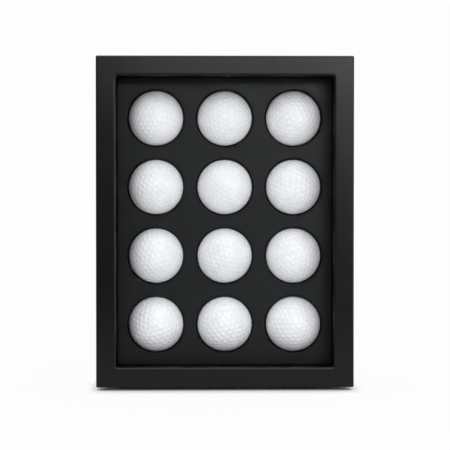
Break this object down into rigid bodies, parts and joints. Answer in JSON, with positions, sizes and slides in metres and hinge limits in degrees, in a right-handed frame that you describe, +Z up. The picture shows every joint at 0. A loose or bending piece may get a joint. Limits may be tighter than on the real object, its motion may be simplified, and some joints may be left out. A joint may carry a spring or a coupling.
{
  "type": "golf ball display case",
  "caption": "Upright black display case with a hinged glazed door and a moulded tray of pockets that each hold a golf ball.",
  "frame": {"origin": "on the surface the case stands on, under the middle of its width and depth", "axes": "+X to the viewer's right, -Y out of the front, +Z up"},
  "size_m": [0.198, 0.06, 0.2569],
  "materials": {
    "door_lacquer": "satin black lacquer",
    "case_lacquer": "satin black lacquer",
    "bare_wood": "bare",
    "clear_pane": "clear, non-glare",
    "black_bead": "matt",
    "black_liner": "flocked, matt",
    "moulded_tray": "fine satin grain",
    "ball_cover": "white gloss, dimpled",
    "dark_hinge": "black oxide",
    "nickel": "nickel plated",
    "black_rubber": "matt",
    "brown_board": "black hardboard",
    "rail_wood": "black stained",
    "zinc_steel": "bright zinc"
  },
  "bodies": {
    "case": {"case_top": "case_lacquer", "case_bottom": "case_lacquer", "case_side_left": "case_lacquer", "case_side_right": "case_lacquer", "case_corner_keys": "bare_wood", "liner_top": "black_liner", "liner_bottom": "black_liner", "liner_left": "black_liner", "liner_right": "black_liner", "ball_tray": "moulded_tray", "ball_row1_column1": "ball_cover", "ball_row1_column2": "ball_cover", "ball_row1_column3": "ball_cover", "ball_row2_column1": "ball_cover", "ball_row2_column2": "ball_cover", "ball_row2_column3": "ball_cover", "ball_row3_column1": "ball_cover", "ball_row3_column2": "ball_cover", "ball_row3_column3": "ball_cover", "ball_row4_column1": "ball_cover", "ball_row4_column2": "ball_cover", "ball_row4_column3": "ball_cover", "hinge_leaf_case_upper": "dark_hinge", "hinge_leaf_case_lower": "dark_hinge", "hinge_pin_upper": "dark_hinge", "hinge_pin_lower": "dark_hinge", "hinge_screws_case": "dark_hinge", "catch_magnets": "nickel", "door_bumpers": "black_rubber", "back_panel": "brown_board", "panel_screws": "zinc_steel", "hanging_rail": "rail_wood", "rail_screws": "zinc_steel", "keyhole_plate_left": "zinc_steel", "keyhole_plate_right": "zinc_steel", "keyhole_screws": "zinc_steel", "foot_front_left": "black_rubber", "foot_front_right": "black_rubber", "foot_rear_left": "black_rubber", "foot_rear_right": "black_rubber"},
    "door": {"door_rail_top": "door_lacquer", "door_rail_bottom": "door_lacquer", "door_stile_left": "door_lacquer", "door_stile_right": "door_lacquer", "door_corner_keys": "bare_wood", "door_pane": "clear_pane", "pane_bead_top": "black_bead", "pane_bead_bottom": "black_bead", "pane_bead_left": "black_bead", "pane_bead_right": "black_bead", "hinge_leaf_door_upper": "dark_hinge", "hinge_leaf_door_lower": "dark_hinge", "hinge_screws_door": "dark_hinge", "strike_plates": "nickel"}
  },
  "joints": [
    {"name": "door_hinge", "type": "hinge", "parent": "case", "child": "door", "pos_m": [-0.097, -0.01354, 0.12965], "axis": [0, 0, -1], "range_deg": [0, 115]}
  ]
}
